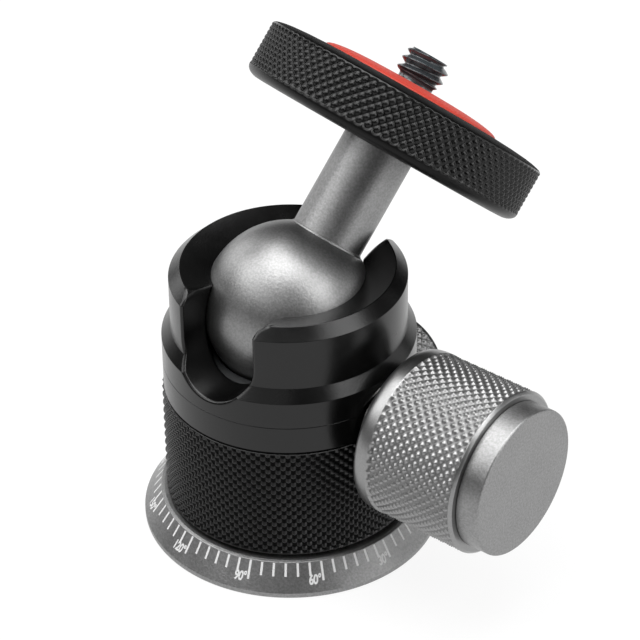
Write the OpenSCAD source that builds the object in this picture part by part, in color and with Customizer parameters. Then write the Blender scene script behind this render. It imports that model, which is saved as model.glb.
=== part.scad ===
// Small metal ball head for a tripod, as an assembly.
// Millimetres. Origin at the centre of the underside of the base, +Z up,
// main lock knob on +X, pan lock knob on +Y, drop notches on -Y and +Y.

/* [Base disc] */
// Width of the flat ledge between the housing and the slope with the degree dial
base_ledge = 0.7; // [0.5:0.05:1.5]
// Width of the slope with the degree dial, seen from above
dial_slope_w = 2.35; // [1.8:0.05:4]
// Height of the upright rim below the slope with the degree dial
base_rim_h = 0.8; // [0.5:0.1:1.4]
// Height of the base disc
base_h = 4.2; // [3.9:0.1:5.6]
// Width of each grip groove in the underside
grip_groove_w = 1; // [0.6:0.1:1.4]
// Depth of each grip groove in the underside
grip_groove_depth = 0.4; // [0.2:0.1:0.8]

/* [Pan spindle] */
// Diameter of the spindle that the head pans on
spindle_d = 13; // [12.4:0.1:14]
// Diameter of the spindle's foot flange
flange_d = 21; // [20:0.1:23]
// Thickness of the spindle's foot flange
flange_t = 2; // [1.6:0.1:2.4]
// Height of the foot flange above the standing surface
flange_recess = 0.3; // [0.2:0.1:0.6]
// Major diameter of the 3/8 inch thread hole in the spindle
big_thread_d = 9.525; // [9:0.005:10]
// Depth of the 3/8 inch thread hole
big_thread_depth = 11; // [9:0.5:12]
// Depth of the brake groove around the spindle
brake_groove_depth = 0.8; // [0.5:0.1:1]
// Width of the flat at the bottom of the brake groove
brake_groove_w = 1.2; // [0.8:0.1:1.8]

/* [Thread reducer] */
// Major diameter of the 1/4 inch thread hole that takes the tripod's screw
small_thread_d = 6.35; // [5.8:0.01:6.6]
// Length of the thread reducer
reducer_len = 8.4; // [7:0.1:10]
// Width of the screwdriver slot across the thread reducer
reducer_slot_w = 1.2; // [0.8:0.1:1.6]
// Depth of the screwdriver slot across the thread reducer
reducer_slot_depth = 0.8; // [0.5:0.1:1.2]

/* [Base screws] */
// Number of countersunk screws that hold the base disc on the spindle
base_screws = 3; // [3:1:4]
// Diameter of the base screws
base_screw_d = 2; // [1.6:0.1:2.2]
// Head diameter of the base screws
base_screw_head_d = 3.6; // [3:0.1:3.8]
// Diameter of the circle that the base screws stand on
base_screw_pcd = 17; // [16.8:0.1:17.4]

/* [Pan bearing] */
// Thickness of the plastic washer between base and housing
glide_t = 0.3; // [0.2:0.05:0.5]
// Thickness of the steel washer over the housing floor
top_washer_t = 0.4; // [0.3:0.05:0.6]
// Thickness of the retaining ring
clip_t = 0.7; // [0.5:0.05:0.8]
// Depth of the retaining ring's groove in the spindle
clip_groove_depth = 0.85; // [0.6:0.05:1]
// Angle left open in the retaining ring
clip_gap_angle = 60; // [40:5:90]

/* [Housing] */
// Diameter over the knurled lower part of the housing
housing_knurl_d = 33.6; // [33.4:0.1:34.4]
// Height of the knurled lower part of the housing
housing_knurl_h = 16.8; // [16.4:0.1:18]
// Step from the knurl in to the smooth upper part of the housing
body_step = 0.25; // [0.1:0.05:0.4]
// Height of the smooth upper part of the housing
housing_neck_h = 3.85; // [3.4:0.05:4.5]
// Width of the groove above the knurled part
housing_groove_w = 0.3; // [0.2:0.05:0.5]
// Depth of the groove above the knurled part
housing_groove_depth = 0.25; // [0.15:0.05:0.5]
// Height of the plain band below the knurled part
housing_plain_h = 0.6; // [0.4:0.1:1]
// Chamfer on the housing's lower edge
housing_chamfer = 0.3; // [0.2:0.05:0.5]
// Thickness of the housing floor around the spindle
floor_t = 9.7; // [9.4:0.1:9.9]
// Height of the centring spigot that the collar sits on
spigot_h = 1.25; // [0.8:0.05:1.5]
// Wall of the collar around the spigot
skirt_wall = 2.05; // [1.6:0.05:2.6]

/* [Socket collar] */
// Height of the straight lower part of the collar
collar_body_h = 3.75; // [3.4:0.05:4.4]
// Height of the sloping shoulder of the collar
shoulder_h = 1.6; // [1.2:0.1:2]
// Reach inward of the sloping shoulder
shoulder_in = 1.2; // [0.8:0.05:1.6]
// Height of the straight upper part of the collar
collar_wall_h = 7.1; // [6.6:0.1:7.6]
// Height of the outer chamfer at the rim of the collar
rim_h = 1.4; // [1:0.1:1.8]
// Reach inward of the outer chamfer at the rim
rim_in = 1.5; // [1.2:0.05:1.9]
// Diameter of the opening that holds the ball down
mouth_d = 19.8; // [19.2:0.1:20.6]
// Width of the two notches that let the stem drop
notch_w = 11.4; // [11.3:0.1:12]
// Height of the centre of the notches' round bottom above the ball's centre
notch_rise = 0.3; // [0:0.05:0.4]
// Radius of the rounded upper corners of the notches
notch_corner_r = 1.2; // [1.2:0.1:4]

/* [Ball and stem] */
// Diameter of the ball
ball_d = 22.2; // [21.8:0.1:22.6]
// Depth of the ball's centre below the top edge of the collar
ball_drop = 6.5; // [6.3:0.1:6.8]
// Diameter of the stem
stem_d = 9.74; // [9:0.02:9.9]
// Distance from the ball's centre to the underside of the plate
plate_reach = 23.4; // [22.8:0.1:26]
// Diameter of the stem's spigot inside the plate
stem_spigot_d = 8; // [7.6:0.1:8.8]
// Length of the stem's spigot inside the plate
stem_spigot_h = 4; // [3:0.1:4.6]
// Lean of the stem from upright
lean = 42.1; // [30:0.1:44]
// Direction of the lean, turned from +Y towards +X
lean_side = 9.6; // [0:0.1:12]

/* [Camera plate] */
// Diameter of the plate over its knurl
plate_d = 39.4; // [38:0.1:44]
// Thickness of the plate
plate_t = 8.04; // [7.6:0.02:9]
// Height of the rounded band under the knurl
plate_low_h = 1.25; // [1:0.05:1.6]
// Reach inward of the rounded band under the knurl
plate_low_in = 1.9; // [1.4:0.1:2.4]
// Height of the flat cone above the knurl
plate_top_h = 0.43; // [0.3:0.01:0.8]
// Reach inward of the flat cone above the knurl
plate_top_in = 1.7; // [1.2:0.1:2.4]
// Diameter of the rubber pad
pad_d = 24.9; // [22:0.1:28]
// Thickness of the rubber pad
pad_t = 2.1; // [1.8:0.1:2.6]
// Height of the pad above the plate
pad_proud = 1.12; // [0.6:0.02:1.3]
// Rounding of the pad's upper edge
pad_round = 0.35; // [0.2:0.05:0.6]

/* [Camera screw] */
// Major diameter of the camera screw, 1/4 inch
screw_d = 6.35; // [6:0.01:6.6]
// Height of the camera screw above the pad
screw_proud = 5.5; // [4.5:0.1:6.5]
// Diameter of the undercut at the foot of the thread
screw_neck_d = 4.9; // [4.6:0.1:5.2]
// Height of the undercut at the foot of the thread
screw_neck_h = 0.7; // [0.4:0.1:1]
// Chamfer at the tip of the camera screw
screw_tip = 0.7; // [0.5:0.05:1]
// Depth to which the camera screw reaches into the stem
screw_root = 6; // [5:0.1:8]

/* [Main lock] */
// Depth of the lock knob's axis below the ball's centre
lock_drop = 10.85; // [10.7:0.05:11]
// Diameter of the lock stud
lock_stud_d = 6; // [5.6:0.05:6.2]
// Travel of the lock stud in half a turn
lock_travel = 0.5; // [0.4:0.05:0.6]
// Depth of the flat that the lock washer faces, below the housing's surface
lock_face_depth = 1.2; // [1:0.05:1.4]
// Diameter of the lock washer
lock_washer_d = 12; // [11:0.1:12.6]
// Thickness of the lock washer
lock_washer_t = 1.7; // [1.4:0.05:2]
// Outer diameter of the brass bush for the lock stud
bush_d = 8.8; // [8.4:0.1:9]
// Wall between the seat chamber and the bush
bush_wall = 1.4; // [1.2:0.1:1.8]
// Length of the pin that lifts the seat
pin_len = 4; // [3.8:0.1:4.2]

/* [Lock knob] */
// Diameter of the lock knob over its knurl
knob_d = 22.1; // [21:0.1:24]
// Diameter of the knob's inner rim
knob_rim_d = 20.2; // [19.6:0.1:20.8]
// Height of the hub between washer and rim
knob_hub_h = 0.85; // [0.6:0.05:1.2]
// Length of the smooth flare from rim to knurl
knob_flare_len = 2.35; // [2:0.05:3]
// Length of the knurl on the lock knob
knob_knurl_len = 12.85; // [12:0.05:14]
// Length of the chamfered shoulder behind the cap
knob_shoulder_len = 0.3; // [0.2:0.05:0.6]
// Depth of the dish around the hub
knob_dish = 1.2; // [0.8:0.1:2]
// Diameter of the knob's end cap
cap_d = 19.7; // [19:0.1:20.4]
// Length of the knob's end cap
cap_len = 2.9; // [2.4:0.1:3.6]
// Width of the shadow gap behind the cap
cap_gap = 0.33; // [0.2:0.01:0.6]
// Edge chamfer of the cap
cap_chamfer = 0.25; // [0.15:0.05:0.5]
// Diameter of the cap's spigot
cap_spigot_d = 14; // [12:0.5:16]
// Length of the cap's spigot
cap_spigot_len = 3; // [2:0.1:4]

/* [Ball seat] */
// Slope of the seat's wedge face
wedge_angle = 27; // [25:0.5:29]
// Width of the flat ring under the seat
seat_foot_w = 1.1; // [0.8:0.1:1.3]
// Depth of the seat's lip below the ball's centre
seat_lip_drop = 5.6; // [5.5:0.05:5.8]
// Gap between ball and seat when the lock is open
seat_gap = 0.3; // [0.28:0.01:0.4]
// Material thickness of a disc spring
spring_t = 0.7; // [0.5:0.05:0.9]
// Height of a disc spring at rest
spring_h = 1.6; // [1.5:0.05:1.7]
// Bore of a disc spring
spring_bore = 7; // [6:0.1:8]
// Outer diameter of a disc spring
spring_d = 13.8; // [13.2:0.1:14]
// Thickness of the cover over the spindle
cover_t = 0.8; // [0.6:0.05:1]
// Height of the cover's raised centre
cover_boss_h = 0.6; // [0.4:0.05:0.8]

/* [Pan lock] */
// Height of the pan knob's axis above the housing's underside
pan_lock_h = 6.15; // [5.9:0.05:6.4]
// Diameter of the pan lock stud
pan_stud_d = 5; // [4.6:0.05:5.2]
// Travel of the pan lock stud in half a turn
pan_travel = 0.4; // [0.3:0.05:0.5]
// Length of the brake shoe on the spindle
shoe_len = 4.7; // [4.2:0.1:5.2]
// Depth of the flat that the pan washer faces, below the housing's surface
pan_face_depth = 0.8; // [0.6:0.05:1]
// Diameter of the pan washer
pan_washer_d = 8; // [7.4:0.1:8.4]
// Thickness of the pan washer
pan_washer_t = 1.15; // [0.9:0.05:1.4]
// Diameter of the pan knob
pan_knob_d = 13; // [12:0.1:13.4]
// Length of the pan knob
pan_knob_len = 7.2; // [6.4:0.1:7.6]
// Depth of the recess in the pan knob's end
pan_knob_recess = 0.6; // [0.3:0.1:1]
// Diameter of the recess in the pan knob's end
pan_knob_recess_d = 8.4; // [7.6:0.1:9]

/* [Fits] */
// Running clearance between parts that turn or slide, all round
run_gap = 0.04; // [0.02:0.01:0.06]
// Clearance between parts that are fixed together, all round
seat_fit = 0.02; // [0.01:0.01:0.04]
// Gap between faces that pass each other
face_gap = 0.05; // [0.03:0.01:0.1]

/* [Hidden] */
$fn = 96;
eps = 0.01;

// Radii
spindle_r = spindle_d / 2;
flange_r = flange_d / 2;
knurl_r = housing_knurl_d / 2;
dial_top_r = knurl_r + base_ledge;
base_r = dial_top_r + dial_slope_w;
body_r = knurl_r - body_step;
collar_r = body_r - shoulder_in;
rim_r = collar_r - rim_in;
band_r = knurl_r - housing_groove_depth;
ball_r = ball_d / 2;
notch_r = notch_w / 2;
chamber_r = ball_r + 2 * face_gap;
spigot_r = body_r - skirt_wall;

// Heights of the base and the housing
house_z = base_h + glide_t;
floor_z = house_z + floor_t;
neck_z = house_z + housing_knurl_h;
joint_z = neck_z + housing_neck_h;
shoulder_z = joint_z + collar_body_h;
wall_z = shoulder_z + shoulder_h;
rim_z = wall_z + collar_wall_h;
top_z = rim_z + rim_h;
ball_z = top_z - ball_drop;
mouth_z = ball_z + sqrt(pow(ball_r + face_gap, 2) - pow(mouth_d / 2, 2));

// Heights of the spindle
flange_top = flange_recess + flange_t;
clip_z = floor_z + top_washer_t + face_gap;
spindle_top = clip_z + clip_t + 2 * face_gap + 0.3;
pan_z = house_z + pan_lock_h;

// Heights of the ball seat
lock_z = ball_z - lock_drop;
seat_z = ball_z - ball_r + 0.6;
lip_z = ball_z - seat_lip_drop;
seat_sphere_r = ball_r + seat_gap;
seat_r = chamber_r - 1.5 * run_gap;
seat_bore_r = sqrt(pow(seat_sphere_r, 2) - pow(ball_z - seat_z - 1.05, 2));
wedge_r = seat_bore_r + seat_foot_w;
cover_top = seat_z - 2 * spring_h;
shelf_z = cover_top - cover_boss_h - cover_t;
shelf_r = chamber_r - 2;

// Stations along the lock axis
lock_face_x = knurl_r - lock_face_depth;
washer_x = lock_face_x + lock_travel + 2 * face_gap;
knob_x = washer_x + lock_washer_t + face_gap / 2;
rim_x = knob_x + knob_hub_h;
flare_x = rim_x + knob_flare_len;
shoulder_x = flare_x + knob_knurl_len;
knob_end_x = shoulder_x + knob_shoulder_len;
cap_x = knob_end_x + cap_gap;
cap_end_x = cap_x + cap_len;
lock_stud_r = lock_stud_d / 2 - face_gap / 2;
bush_x = chamber_r + bush_wall;
pin_x = chamber_r - 2.8;
pin_end_x = pin_x + pin_len;
stud_x = pin_end_x + face_gap;

// Stations along the pan lock axis
pan_face_y = knurl_r - pan_face_depth;
pan_washer_y = pan_face_y + pan_travel + face_gap;
pan_knob_y = pan_washer_y + pan_washer_t + face_gap / 2;
pan_stud_r = pan_stud_d / 2 - face_gap / 2;
brake_root_r = spindle_r - brake_groove_depth;
shoe_y = brake_root_r + pan_travel + face_gap;
shoe_end_y = shoe_y + shoe_len;
pan_stud_y = shoe_end_y + face_gap;

// Distances along the stem from the ball's centre
knurl_low = plate_reach + plate_low_h;
plate_top = plate_reach + plate_t;
knurl_high = plate_top - plate_top_h;
pad_top = plate_top + pad_proud;
pad_low = pad_top - pad_t;
screw_end = pad_top + screw_proud;
screw_low = plate_reach + stem_spigot_h - screw_root;
screw_r = screw_d / 2;
spigot_end = plate_reach + stem_spigot_h;

// Places a shape on the lock axis, with its Z along +X
module on_lock_axis(x = 0) { translate([x, 0, lock_z]) rotate([0, 90, 0]) children(); }

// Places a shape on the pan lock axis, with its Z along +Y
module on_pan_axis(y = 0) { translate([0, y, pan_z]) rotate([-90, 0, 0]) children(); }

// Places a shape on the leaning stem, with its Z along the stem and 0 at the ball's centre
module on_stem(h = 0) { translate([0, 0, ball_z]) rotate([0, 0, -lean_side]) rotate([-lean, 0, 0]) translate([0, 0, h]) children(); }

// Repeats a shape at each base screw's place
module at_base_screw(i) { rotate([0, 0, 30 + i * 360 / base_screws]) translate([base_screw_pcd / 2, 0, 0]) children(); }

// A tube from z = 0 up
module tube(r, bore, h) { difference() { cylinder(r = r, h = h); translate([0, 0, -1]) cylinder(r = bore, h = h + 2); } }

// Countersunk screw body with its head at z = 0 and the thread above it
module countersunk(gap, len) {
    head_r = base_screw_head_d / 2;
    r = base_screw_d / 2;
    rotate_extrude() polygon([[0, 0], [head_r + gap, 0], [r + gap, head_r - r], [r + gap, len + gap], [0, len + gap]]);
}

module base_disc() color("silver") difference() {
    rotate_extrude() polygon([[0, 0], [base_r - 0.2, 0], [base_r, 0.2], [base_r, base_rim_h],
                              [dial_top_r, base_h - 0.1], [dial_top_r - 0.4, base_h], [0, base_h]]);
    translate([0, 0, -1]) cylinder(r = flange_r + seat_fit, h = flange_top + 1);
    cylinder(r = spindle_r + seat_fit, h = base_h + 1);
    for (r = [base_r - 3, base_r - 6]) translate([0, 0, -1]) tube(r + grip_groove_w / 2, r - grip_groove_w / 2, grip_groove_depth + 1);
    for (i = [0 : base_screws - 1]) at_base_screw(i) cylinder(r = base_screw_d / 2 + seat_fit, h = flange_top + 1.2);
}

module pan_spindle() color("gray") difference() {
    rotate_extrude() polygon([[0, flange_recess], [flange_r, flange_recess], [flange_r, flange_top],
                              [spindle_r, flange_top],
                              [spindle_r, pan_z - brake_groove_w / 2 - brake_groove_depth],
                              [brake_root_r, pan_z - brake_groove_w / 2], [brake_root_r, pan_z + brake_groove_w / 2],
                              [spindle_r, pan_z + brake_groove_w / 2 + brake_groove_depth],
                              [spindle_r, clip_z], [spindle_r - clip_groove_depth, clip_z],
                              [spindle_r - clip_groove_depth, clip_z + clip_t + 2 * face_gap],
                              [spindle_r, clip_z + clip_t + 2 * face_gap],
                              [spindle_r - 0.2, spindle_top], [0, spindle_top]]);
    cylinder(r = big_thread_d / 2, h = flange_recess + big_thread_depth);
    for (i = [0 : base_screws - 1]) at_base_screw(i) translate([0, 0, flange_recess - eps]) countersunk(seat_fit, flange_t + 1);
}

module thread_reducer() color("silver") difference() {
    cylinder(r = big_thread_d / 2 - seat_fit, h = reducer_len);
    translate([0, 0, -1]) cylinder(r = small_thread_d / 2, h = reducer_len + 2);
    translate([-big_thread_d, -reducer_slot_w / 2, -1]) cube([2 * big_thread_d, reducer_slot_w, reducer_slot_depth + 1]);
}

module base_screw(i) color("dimgray") at_base_screw(i) translate([0, 0, flange_recess]) difference() {
    countersunk(0, flange_t + 1);
    translate([0, 0, -1]) cylinder(r = base_screw_d / 4, h = 1.6, $fn = 6);
}

module base_screw_1() base_screw(0);
module base_screw_2() base_screw(1);
module base_screw_3() for (i = [2 : base_screws - 1]) base_screw(i);

module glide_washer() color("white") translate([0, 0, base_h]) tube(knurl_r - 1.5, spindle_r + 0.5, glide_t - face_gap / 2);

module top_washer() color("silver") translate([0, 0, floor_z + face_gap / 2]) tube(shelf_r - 0.4, spindle_r + seat_fit, top_washer_t);

module retaining_ring() color("gray") translate([0, 0, clip_z + face_gap])
    rotate([0, 0, 90 + clip_gap_angle / 2]) rotate_extrude(angle = 360 - clip_gap_angle)
        polygon([[spindle_r - clip_groove_depth + seat_fit, 0], [spindle_r + 1.4, 0], [spindle_r + 1.4, clip_t], [spindle_r - clip_groove_depth + seat_fit, clip_t]]);

module housing() color("#202022") difference() {
    rotate_extrude() polygon([[0, house_z], [band_r - housing_chamfer, house_z], [band_r, house_z + housing_chamfer],
                              [band_r, house_z + housing_plain_h], [knurl_r, house_z + housing_plain_h + knurl_r - band_r],
                              [knurl_r, neck_z - housing_groove_w], [body_r - housing_groove_depth, neck_z - housing_groove_w],
                              [body_r - housing_groove_depth, neck_z], [body_r, neck_z], [body_r, joint_z],
                              [spigot_r, joint_z], [spigot_r, joint_z + spigot_h], [0, joint_z + spigot_h]]);
    // spindle bore, washer room and seat chamber
    translate([0, 0, house_z - 1]) cylinder(r = spindle_r + run_gap, h = floor_t + 2);
    translate([0, 0, floor_z]) cylinder(r = shelf_r, h = shelf_z - floor_z + 1);
    translate([0, 0, shelf_z]) cylinder(r = chamber_r, h = 20);
    // main lock: pin guide, bush seat and the flat for the washer
    on_lock_axis(chamber_r - 2) cylinder(r = lock_stud_r + run_gap, h = 20);
    on_lock_axis(bush_x) cylinder(r = bush_d / 2, h = 20);
    on_lock_axis(lock_face_x) cylinder(r = lock_washer_d / 2 + 0.3, h = 20);
    // pan lock: shoe and stud bore and the flat for the washer
    on_pan_axis(0) cylinder(r = pan_stud_r + run_gap, h = 30);
    on_pan_axis(pan_face_y) cylinder(r = pan_washer_d / 2 + 0.3, h = 20);
}

// Outline of a notch seen along Y: round bottom, straight sides, rounded upper corners
module notch_outline() {
    translate([0, notch_rise]) circle(r = notch_r);
    translate([-notch_r, notch_rise]) square([notch_w, ball_drop - notch_rise + 2]);
    difference() {
        translate([-notch_r - notch_corner_r, ball_drop - notch_corner_r]) square([notch_w + 2 * notch_corner_r, notch_corner_r + 2]);
        for (s = [-1, 1]) translate([s * (notch_r + notch_corner_r), ball_drop - notch_corner_r]) circle(r = notch_corner_r);
    }
}

module socket_collar() color("#1c1c1e") difference() {
    rotate_extrude() polygon([[0, joint_z], [body_r, joint_z], [body_r, shoulder_z], [collar_r, wall_z],
                              [collar_r, rim_z], [rim_r, top_z], [0, top_z]]);
    // centring recess, seat bore, ball socket and the cone above it
    translate([0, 0, joint_z - 1]) cylinder(r = spigot_r + seat_fit, h = spigot_h + 1 + face_gap);
    translate([0, 0, joint_z - 1]) cylinder(r = chamber_r, h = ball_z - joint_z + 1);
    translate([0, 0, ball_z]) sphere(r = ball_r + face_gap);
    cone_slope = (rim_r - mouth_d / 2) / (top_z - mouth_z);
    translate([0, 0, mouth_z]) cylinder(r1 = mouth_d / 2, r2 = rim_r + 2 * cone_slope, h = top_z - mouth_z + 2);
    // drop notches through the wall on -Y and +Y
    translate([0, 2 * body_r, ball_z]) rotate([90, 0, 0]) linear_extrude(4 * body_r) notch_outline();
    // the bush and the flat for the lock washer run up into the collar and key it to the housing
    on_lock_axis(bush_x) cylinder(r = bush_d / 2, h = 20);
    on_lock_axis(lock_face_x) cylinder(r = lock_washer_d / 2 + 0.3, h = 20);
}

module lock_bush() color("goldenrod") on_lock_axis(bush_x) tube(bush_d / 2 - seat_fit, lock_stud_r + run_gap, lock_face_x - bush_x);

module cover_disc() color("gray") translate([0, 0, shelf_z]) {
    cylinder(r = chamber_r - seat_fit, h = cover_t);
    translate([0, 0, cover_t - eps]) cylinder(r = spring_d / 2 + 0.5, h = cover_boss_h + eps);
}

// Disc spring with its wide edge at z = 0
module disc_spring() rotate_extrude() polygon([[spring_d / 2, 0], [spring_d / 2, spring_t], [spring_bore / 2, spring_h], [spring_bore / 2, spring_h - spring_t]]);

module seat_spring_lower() color("gray") translate([0, 0, cover_top]) disc_spring();

module seat_spring_upper() color("gray") translate([0, 0, seat_z]) mirror([0, 0, 1]) disc_spring();

module seat_cup() color("silver") difference() {
    rotate_extrude() polygon([[seat_bore_r, seat_z], [wedge_r, seat_z], [seat_r, seat_z + (seat_r - wedge_r) * tan(wedge_angle)],
                              [seat_r, lip_z], [seat_bore_r, lip_z]]);
    translate([0, 0, ball_z]) sphere(r = seat_sphere_r);
}

module pressure_pin() color("silver") difference() {
    on_lock_axis(pin_x) cylinder(r = lock_stud_r, h = pin_len);
    // the bevel runs parallel to the seat's wedge face
    translate([wedge_r, -10, seat_z - face_gap]) rotate([0, -wedge_angle, 0]) translate([-10, 0, 0]) cube([40, 20, 20]);
}

module lock_washer() color("silver") on_lock_axis(washer_x) tube(lock_washer_d / 2, lock_stud_r + run_gap, lock_washer_t);

module lock_knob() color("#8c8a86") on_lock_axis() difference() {
    rotate_extrude() polygon(concat([[0, knob_x], [lock_washer_d / 2, knob_x], [lock_washer_d / 2, rim_x + knob_dish],
                                     [knob_rim_d / 2 - 1, rim_x + knob_dish], [knob_rim_d / 2 - 0.6, rim_x]],
        [for (t = [0 : 0.2 : 1]) [knob_rim_d / 2 + (knob_d - knob_rim_d) / 2 * t * t, rim_x + knob_flare_len * t]],
        [[knob_d / 2, shoulder_x], [knob_d / 2 - 0.1, shoulder_x], [knob_d / 2 - 0.45, knob_end_x], [0, knob_end_x]]));
    cylinder(r = lock_stud_r + seat_fit, h = knob_end_x - cap_spigot_len - 2);
    translate([0, 0, knob_end_x - cap_spigot_len - eps]) cylinder(r = cap_spigot_d / 2 + seat_fit, h = 20);
}

module lock_knob_cap() color("#8c8a86") on_lock_axis() rotate_extrude()
    polygon([[0, knob_end_x - cap_spigot_len], [cap_spigot_d / 2, knob_end_x - cap_spigot_len], [cap_spigot_d / 2, knob_end_x],
             [cap_d / 2 - 0.5, knob_end_x], [cap_d / 2 - 0.5, cap_x], [cap_d / 2, cap_x],
             [cap_d / 2, cap_end_x - cap_chamfer], [cap_d / 2 - cap_chamfer, cap_end_x], [0, cap_end_x]]);

module lock_stud() color("silver") on_lock_axis(stud_x) rotate_extrude()
    polygon([[0, 0], [lock_stud_r - 0.4, 0], [lock_stud_r, 0.4], [lock_stud_r, knob_end_x - cap_spigot_len - 2.2 - stud_x], [0, knob_end_x - cap_spigot_len - 2.2 - stud_x]]);

module pan_shoe() color("goldenrod") on_pan_axis(shoe_y) rotate_extrude()
    polygon([[0, 0], [brake_groove_w / 2, 0], [pan_stud_r, pan_stud_r - brake_groove_w / 2], [pan_stud_r, shoe_len], [0, shoe_len]]);

module pan_washer() color("silver") on_pan_axis(pan_washer_y) tube(pan_washer_d / 2, pan_stud_r + run_gap, pan_washer_t);

module pan_knob() color("#8c8a86") on_pan_axis(pan_knob_y) difference() {
    rotate_extrude() polygon([[0, 0], [pan_washer_d / 2, 0], [pan_washer_d / 2, 0.4], [pan_knob_d / 2 - 0.4, 0.4], [pan_knob_d / 2, 0.8],
                              [pan_knob_d / 2, pan_knob_len], [pan_knob_d / 2 - 0.4, pan_knob_len + 0.4],
                              [pan_knob_recess_d / 2, pan_knob_len + 0.4], [pan_knob_recess_d / 2 - 0.3, pan_knob_len + 0.4 - pan_knob_recess], [0, pan_knob_len + 0.4 - pan_knob_recess]]);
    translate([0, 0, -1]) cylinder(r = pan_stud_r + seat_fit, h = pan_knob_len - pan_knob_recess);
}

module pan_stud() color("silver") on_pan_axis(pan_stud_y) rotate_extrude()
    polygon([[0, 0], [pan_stud_r - 0.3, 0], [pan_stud_r, 0.3], [pan_stud_r, pan_knob_y + pan_knob_len - pan_knob_recess - 1.2 - pan_stud_y],
             [0, pan_knob_y + pan_knob_len - pan_knob_recess - 1.2 - pan_stud_y]]);

module ball_stem() color("#9a9894") on_stem() difference() {
    union() {
        sphere(r = ball_r);
        cylinder(r = stem_d / 2, h = plate_reach - face_gap);
        cylinder(r = stem_spigot_d / 2, h = spigot_end);
    }
    translate([0, 0, screw_low - 1]) cylinder(r = screw_r + run_gap, h = 40);
}

module top_plate() color("#202022") on_stem() difference() {
    rotate_extrude() polygon(concat([[0, plate_reach], [plate_d / 2 - plate_low_in, plate_reach]],
        [for (a = [15 : 15 : 90]) [plate_d / 2 - plate_low_in * (1 - sin(a)), knurl_low - plate_low_h * cos(a)]],
        [[plate_d / 2, knurl_high], [plate_d / 2 - plate_top_in, plate_top], [0, plate_top]]));
    translate([0, 0, plate_reach - 1]) cylinder(r = stem_spigot_d / 2 + run_gap, h = stem_spigot_h + 1 + face_gap);
    cylinder(r = screw_r + seat_fit, h = plate_top + 1);
    translate([0, 0, pad_low]) cylinder(r = pad_d / 2 + seat_fit, h = 10);
}

module rubber_pad() color("#e05038") on_stem() difference() {
    rotate_extrude() polygon(concat([[0, pad_low], [pad_d / 2, pad_low]],
        [for (a = [0 : 22.5 : 90]) [pad_d / 2 - pad_round * (1 - cos(a)), pad_top - pad_round * (1 - sin(a))]], [[0, pad_top]]));
    cylinder(r = screw_r + seat_fit, h = pad_top + 1);
}

module camera_screw() color("silver") on_stem() rotate_extrude()
    polygon([[0, screw_low], [screw_r, screw_low], [screw_r, pad_top], [screw_neck_d / 2, pad_top], [screw_neck_d / 2, pad_top + screw_neck_h],
             [screw_r, pad_top + screw_neck_h + (screw_d - screw_neck_d) / 4], [screw_r, screw_end - screw_tip], [screw_r - screw_tip, screw_end], [0, screw_end]]);

base_disc();
pan_spindle();
thread_reducer();
base_screw_1();
base_screw_2();
base_screw_3();
glide_washer();
top_washer();
retaining_ring();
housing();
socket_collar();
lock_bush();
cover_disc();
seat_spring_lower();
seat_spring_upper();
seat_cup();
pressure_pin();
lock_washer();
lock_knob();
lock_knob_cap();
lock_stud();
pan_shoe();
pan_washer();
pan_knob();
pan_stud();
ball_stem();
top_plate();
rubber_pad();
camera_screw();
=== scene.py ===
"""Looks of a small tripod ball head: turned and knurled surfaces, dial, materials, lights and camera."""
import math

import bpy
import numpy as np
from mathutils import Matrix


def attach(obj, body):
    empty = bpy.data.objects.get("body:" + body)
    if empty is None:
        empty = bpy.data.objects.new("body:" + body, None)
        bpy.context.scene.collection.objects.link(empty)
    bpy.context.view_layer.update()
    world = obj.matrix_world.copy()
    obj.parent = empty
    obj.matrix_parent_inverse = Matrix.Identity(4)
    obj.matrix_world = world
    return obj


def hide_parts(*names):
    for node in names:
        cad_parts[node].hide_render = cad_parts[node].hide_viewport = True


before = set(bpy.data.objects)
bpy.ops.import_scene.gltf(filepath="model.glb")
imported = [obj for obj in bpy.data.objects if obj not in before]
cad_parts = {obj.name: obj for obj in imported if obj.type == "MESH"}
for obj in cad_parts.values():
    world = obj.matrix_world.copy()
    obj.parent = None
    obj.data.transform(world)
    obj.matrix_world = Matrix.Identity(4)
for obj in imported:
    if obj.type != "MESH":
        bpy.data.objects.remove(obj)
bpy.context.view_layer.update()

MM = 0.001
METRE = 1000  # millimetres in a metre
TAU = 2 * math.pi

# The same places and sizes as the solids, in millimetres
BALL_Z = 32.5
BALL_R = 11.1
LOCK_Z = 21.65
PAN_Z = 10.65
LEAN = math.radians(42.1)
LEAN_SIDE = math.radians(9.6)
STEM_AXIS = (
    math.sin(LEAN) * math.sin(LEAN_SIDE),
    math.sin(LEAN) * math.cos(LEAN_SIDE),
    math.cos(LEAN),
)


# ---------------------------------------------------------------- materials

PATCH = 3.5  # width of the patches in which tone and gloss drift
NOISE_LOW, NOISE_HIGH = 0.36, 0.64  # noise values between which the grain goes from dark to light
LEAST_ROUGH = 0.03
MIX_DARK, MIX_LIGHT, MIX_RESULT = 6, 7, 2  # colour sockets of a Mix node
NODE_STEP = 220
PRINCIPLED = "Principled BSDF"
WHITE = (1, 1, 1, 1)


def linear(hexcode):
    """sRGB hex colour as the linear numbers that shaders take."""
    out = []
    for i in (0, 2, 4):
        c = int(hexcode[i : i + 2], 16) / 255
        out.append(c / 12.92 if c <= 0.04045 else ((c + 0.055) / 1.055) ** 2.4)
    return (*out, 1.0)


def add(tree, kind, links=(), **values):
    """Adds one node, sets its values by socket or property name, and links sockets into it."""
    n = tree.nodes.new(kind)
    n.location = (NODE_STEP * len(tree.nodes), 0)
    for key, v in values.items():
        if hasattr(n, key):
            setattr(n, key, v)
        else:
            n.inputs[key.replace("_", " ")].default_value = v
    for socket, source in links:
        tree.links.new(source, n.inputs[socket])
    return n


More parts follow.
